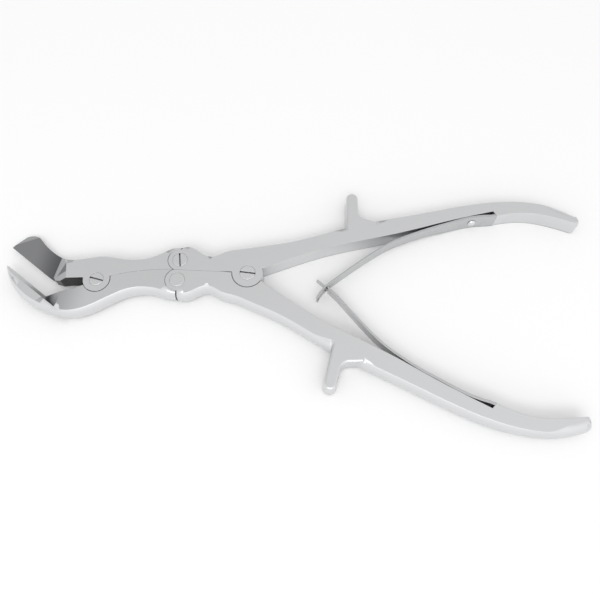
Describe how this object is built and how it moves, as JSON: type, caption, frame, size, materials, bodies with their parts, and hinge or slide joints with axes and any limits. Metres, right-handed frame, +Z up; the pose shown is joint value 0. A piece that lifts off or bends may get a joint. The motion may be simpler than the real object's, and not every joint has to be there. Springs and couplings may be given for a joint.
{
  "type": "rib shears",
  "caption": "Double-action rib shears with bypass jaws, curved handles with finger rests and interlocked leaf springs that hold them open.",
  "frame": {"origin": "axis of the rear pivot, on the plane that the shears lie on", "axes": "+X along the middle line between the handles, towards the grips, so the jaws point to -X; +Z up along the pivots; +Y completes the right-handed frame, towards the upper handle"},
  "size_m": [0.3511, 0.1508, 0.0119],
  "materials": {
    "satin_steel": "satin brushed, polished on the rounded sides",
    "ground_steel": "satin brushed, finely ground on the cutting faces",
    "spring_steel": "fine satin",
    "screw_steel": "bright turned"
  },
  "bodies": {
    "lower_handle": {"lower_handle": "satin_steel", "lower_leaf_spring": "spring_steel", "lower_spring_rivet": "screw_steel", "lower_link_pin": "screw_steel", "rear_pivot_screw": "screw_steel"},
    "upper_handle": {"upper_handle": "satin_steel", "upper_leaf_spring": "spring_steel", "upper_spring_rivet": "screw_steel", "upper_link_screw": "screw_steel"},
    "upper_jaw": {"upper_jaw": "ground_steel", "front_pivot_screw": "screw_steel"},
    "lower_jaw": {"lower_jaw": "ground_steel"}
  },
  "joints": [
    {"name": "handle_pivot", "type": "hinge", "parent": "lower_handle", "child": "upper_handle", "pos_m": [0, 0, 0.0058], "axis": [0, 0, -1], "range_deg": [0, 24], "stiffness_Nm_per_rad": 3, "springref_deg": -5.73, "deforming": ["upper_leaf_spring", "lower_leaf_spring"]},
    {"name": "upper_jaw_pivot", "type": "hinge", "parent": "upper_handle", "child": "upper_jaw", "pos_m": [-0.04221, 0.00325, 0.0058], "axis": [0, 0, 1], "range_deg": [0, 16]},
    {"name": "lower_jaw_pivot", "type": "hinge", "parent": "lower_handle", "child": "lower_jaw", "pos_m": [-0.04111, -0.0101, 0.0058], "axis": [0, 0, -1], "range_deg": [0, 29]}
  ],
  "couplings": [
    {"joint": "upper_jaw_pivot", "follows": "handle_pivot", "ratio": 0.6557},
    {"joint": "lower_jaw_pivot", "follows": "handle_pivot", "ratio": 1.1955}
  ]
}
